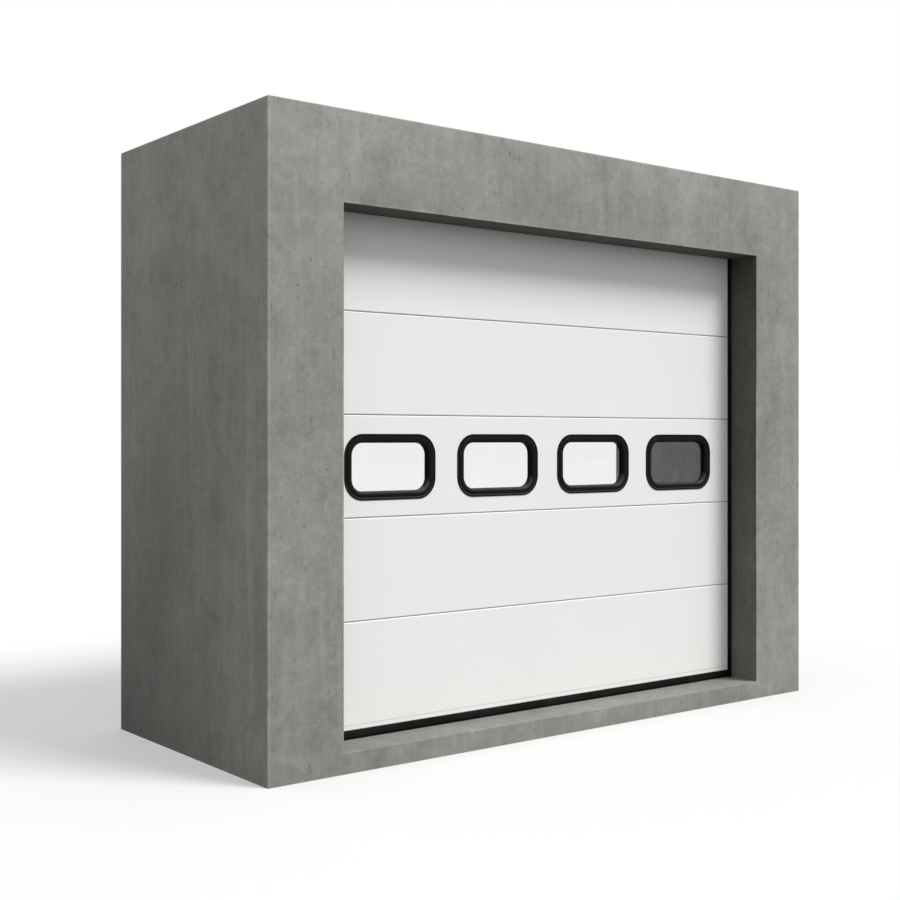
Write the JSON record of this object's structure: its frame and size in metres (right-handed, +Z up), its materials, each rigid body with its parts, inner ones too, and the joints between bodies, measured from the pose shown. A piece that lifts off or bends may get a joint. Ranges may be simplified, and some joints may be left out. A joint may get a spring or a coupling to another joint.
{
  "type": "sectional garage door",
  "caption": "White sectional overhead garage door with rounded windows, set in a hollow grey concrete garage front with floor and roof slabs.",
  "frame": {"origin": "middle of the concrete shell's footprint, on the underside of the floor slab", "axes": "+X across the door to the viewer's right, -Y out through the door's front, +Z up"},
  "size_m": [3.75, 1.55, 3.077],
  "materials": {
    "concrete": "fair-faced concrete, matt",
    "leaf_white": "smooth white coating",
    "rail_white": "white coated aluminium",
    "seal_black": "matt rubber",
    "frame_black": "gloss black",
    "pane_clear": "clear acrylic glazing",
    "steel_galvanised": "galvanised",
    "shaft_steel": "zinc plated",
    "spring_steel": "dark coated spring steel",
    "drum_aluminium": "cast, satin",
    "wheel_nylon": "nylon",
    "cable_steel": "stranded wire rope"
  },
  "bodies": {
    "root": {"floor_slab": "concrete", "roof_slab": "concrete", "left_side_wall": "concrete", "right_side_wall": "concrete", "left_front_pier": "concrete", "right_front_pier": "concrete", "front_lintel": "concrete", "leaf_section_1": "leaf_white", "leaf_section_2": "leaf_white", "leaf_section_3": "leaf_white", "leaf_section_4": "leaf_white", "leaf_section_5": "leaf_white", "bottom_rail": "rail_white", "bottom_seal": "seal_black", "left_side_seal": "seal_black", "right_side_seal": "seal_black", "top_seal": "seal_black", "window_frames": "frame_black", "window_clamps": "frame_black", "window_panes": "pane_clear", "left_end_caps": "steel_galvanised", "right_end_caps": "steel_galvanised", "centre_hinges": "steel_galvanised", "left_side_hinges": "steel_galvanised", "right_side_hinges": "steel_galvanised", "top_brackets": "steel_galvanised", "bottom_brackets": "steel_galvanised", "left_vertical_track": "steel_galvanised", "right_vertical_track": "steel_galvanised", "left_curved_track": "steel_galvanised", "right_curved_track": "steel_galvanised", "left_horizontal_track": "steel_galvanised", "right_horizontal_track": "steel_galvanised", "left_wall_angle": "steel_galvanised", "right_wall_angle": "steel_galvanised", "track_hangers": "steel_galvanised", "end_bearing_plates": "steel_galvanised", "centre_bearing_plate": "steel_galvanised", "torsion_shaft": "shaft_steel", "rollers": "wheel_nylon", "torsion_springs": "spring_steel", "spring_cones": "drum_aluminium", "cable_drums": "drum_aluminium", "lift_cables": "cable_steel"}
  },
  "joints": []
}
